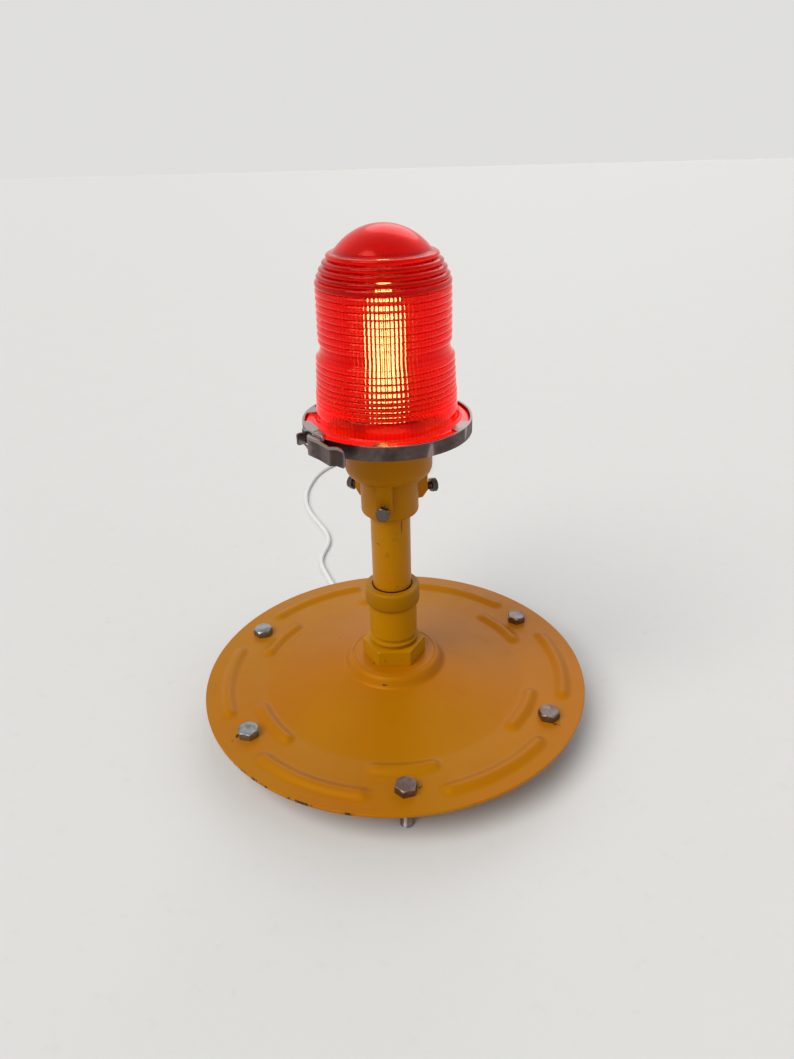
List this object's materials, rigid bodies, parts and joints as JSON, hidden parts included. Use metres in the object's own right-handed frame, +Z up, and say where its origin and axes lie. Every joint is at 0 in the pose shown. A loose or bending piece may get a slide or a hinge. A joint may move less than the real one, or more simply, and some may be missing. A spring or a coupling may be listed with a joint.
{
  "type": "runway light desk lamp",
  "caption": "Elevated airfield marker light kept as a desk lamp: red prism glass globe under a clamp band, cast head, column and breakable coupling on a round steel plate with bolt feet.",
  "frame": {"origin": "on the floor, under the middle of the cover plate, on the column's axis", "axes": "+Z up along the column and the globe; -Y to the front, where one of the plate's bolts and one of the head's screws lie; +X to the right; the cord leaves towards the back and left"},
  "size_m": [0.3048, 0.6859, 0.3798],
  "materials": {
    "plate_paint": "satin aviation yellow over pressed steel, small chips and rust at the holes and rim",
    "head_paint": "satin aviation yellow over cast aluminium",
    "coupling_paint": "thick yellow paint, slightly green and dull",
    "zinc_steel": "bright zinc plate, slightly clouded",
    "dark_steel": "plated steel gone dark",
    "band_steel": "stainless strip, dull and dark with soft scratches",
    "black_iron": "black malleable iron",
    "brass": "plain turned brass",
    "red_glass": "clear red pressed glass with prism rings",
    "clear_glass": "clear blown glass",
    "filament": "coated filament rods, glowing warm when lit",
    "porcelain": "white glazed porcelain",
    "black_plastic": "black moulded nylon",
    "white_plastic": "white moulded vinyl",
    "white_cord": "white round vinyl cord, faint gloss",
    "green_lead": "green vinyl lead",
    "white_rubber": "white flexible rubber",
    "dark_rubber": "dark flat gasket rubber"
  },
  "bodies": {
    "stand": {"base_plate": "plate_paint", "base_bolts": "zinc_steel", "base_nuts": "zinc_steel", "hub_cap": "black_iron", "cord_gland": "black_plastic", "gland_nut": "black_plastic", "strain_relief": "white_rubber", "coupling_body": "coupling_paint", "coupling_ring": "brass", "coupling_nut": "coupling_paint", "column": "plate_paint", "inner_cord": "white_cord", "cord_run": "white_cord", "cord_coil": "white_cord", "coil_tie": "white_rubber", "cord_tail": "white_cord", "plug_body": "white_plastic", "plug_blades": "brass"},
    "ring": {"levelling_ring": "brass"},
    "head": {"head_casting": "head_paint", "lamp_holder": "porcelain", "holder_shell": "brass", "holder_contact": "brass", "holder_screws": "zinc_steel", "live_lead": "black_plastic", "neutral_lead": "white_cord", "earth_screw": "brass", "earth_lead": "green_lead", "globe_gasket": "dark_rubber"},
    "screw_front": {"levelling_screw_front": "dark_steel"},
    "screw_right": {"levelling_screw_right": "dark_steel"},
    "screw_left": {"levelling_screw_left": "dark_steel"},
    "globe": {"globe": "red_glass", "clamp_band": "band_steel", "latch_bracket": "band_steel", "latch_rivets": "band_steel", "latch_pin": "band_steel", "latch_catch": "band_steel"},
    "lever": {"latch_lever": "band_steel"},
    "link": {"latch_link": "zinc_steel"},
    "bulb": {"bulb_cap": "brass", "bulb_insulator": "black_plastic", "bulb_contact": "zinc_steel", "bulb_glass": "clear_glass", "bulb_stem": "clear_glass", "bulb_filaments": "filament"}
  },
  "joints": [
    {"name": "head_swivel", "type": "hinge", "parent": "stand", "child": "ring", "pos_m": [0, 0, 0.19375], "axis": [0, 0, 1], "range_deg": [-180, 180]},
    {"name": "head_tilt", "type": "hinge", "parent": "ring", "child": "head", "pos_m": [0, 0, 0.19375], "axis": [1, 0, 0], "range_deg": [-3, 3]},
    {"name": "front_screw_out", "type": "slide", "parent": "head", "child": "screw_front", "axis": [-0.1478, -0.989, 0], "range_m": [0, 0.006]},
    {"name": "right_screw_out", "type": "slide", "parent": "head", "child": "screw_right", "axis": [0.9304, 0.3665, 0], "range_m": [0, 0.006]},
    {"name": "left_screw_out", "type": "slide", "parent": "head", "child": "screw_left", "axis": [-0.7826, 0.6225, 0], "range_m": [0, 0.006]},
    {"name": "globe_lift", "type": "slide", "parent": "head", "child": "globe", "axis": [0, 0, 1], "range_m": [0, 0.13]},
    {"name": "latch_open", "type": "hinge", "parent": "globe", "child": "lever", "pos_m": [-0.04999, -0.03767, 0.24845], "axis": [0, 0, -1], "range_deg": [0, 110]},
    {"name": "link_swing", "type": "hinge", "parent": "lever", "child": "link", "pos_m": [-0.04237, -0.04388, 0.24845], "axis": [0, 0, -1], "range_deg": [-110, 0]},
    {"name": "bulb_out", "type": "slide", "parent": "head", "child": "bulb", "axis": [0, 0, 1], "range_m": [0, 0.026]}
  ],
  "couplings": [
    {"joint": "link_swing", "follows": "latch_open", "ratio": -1}
  ]
}
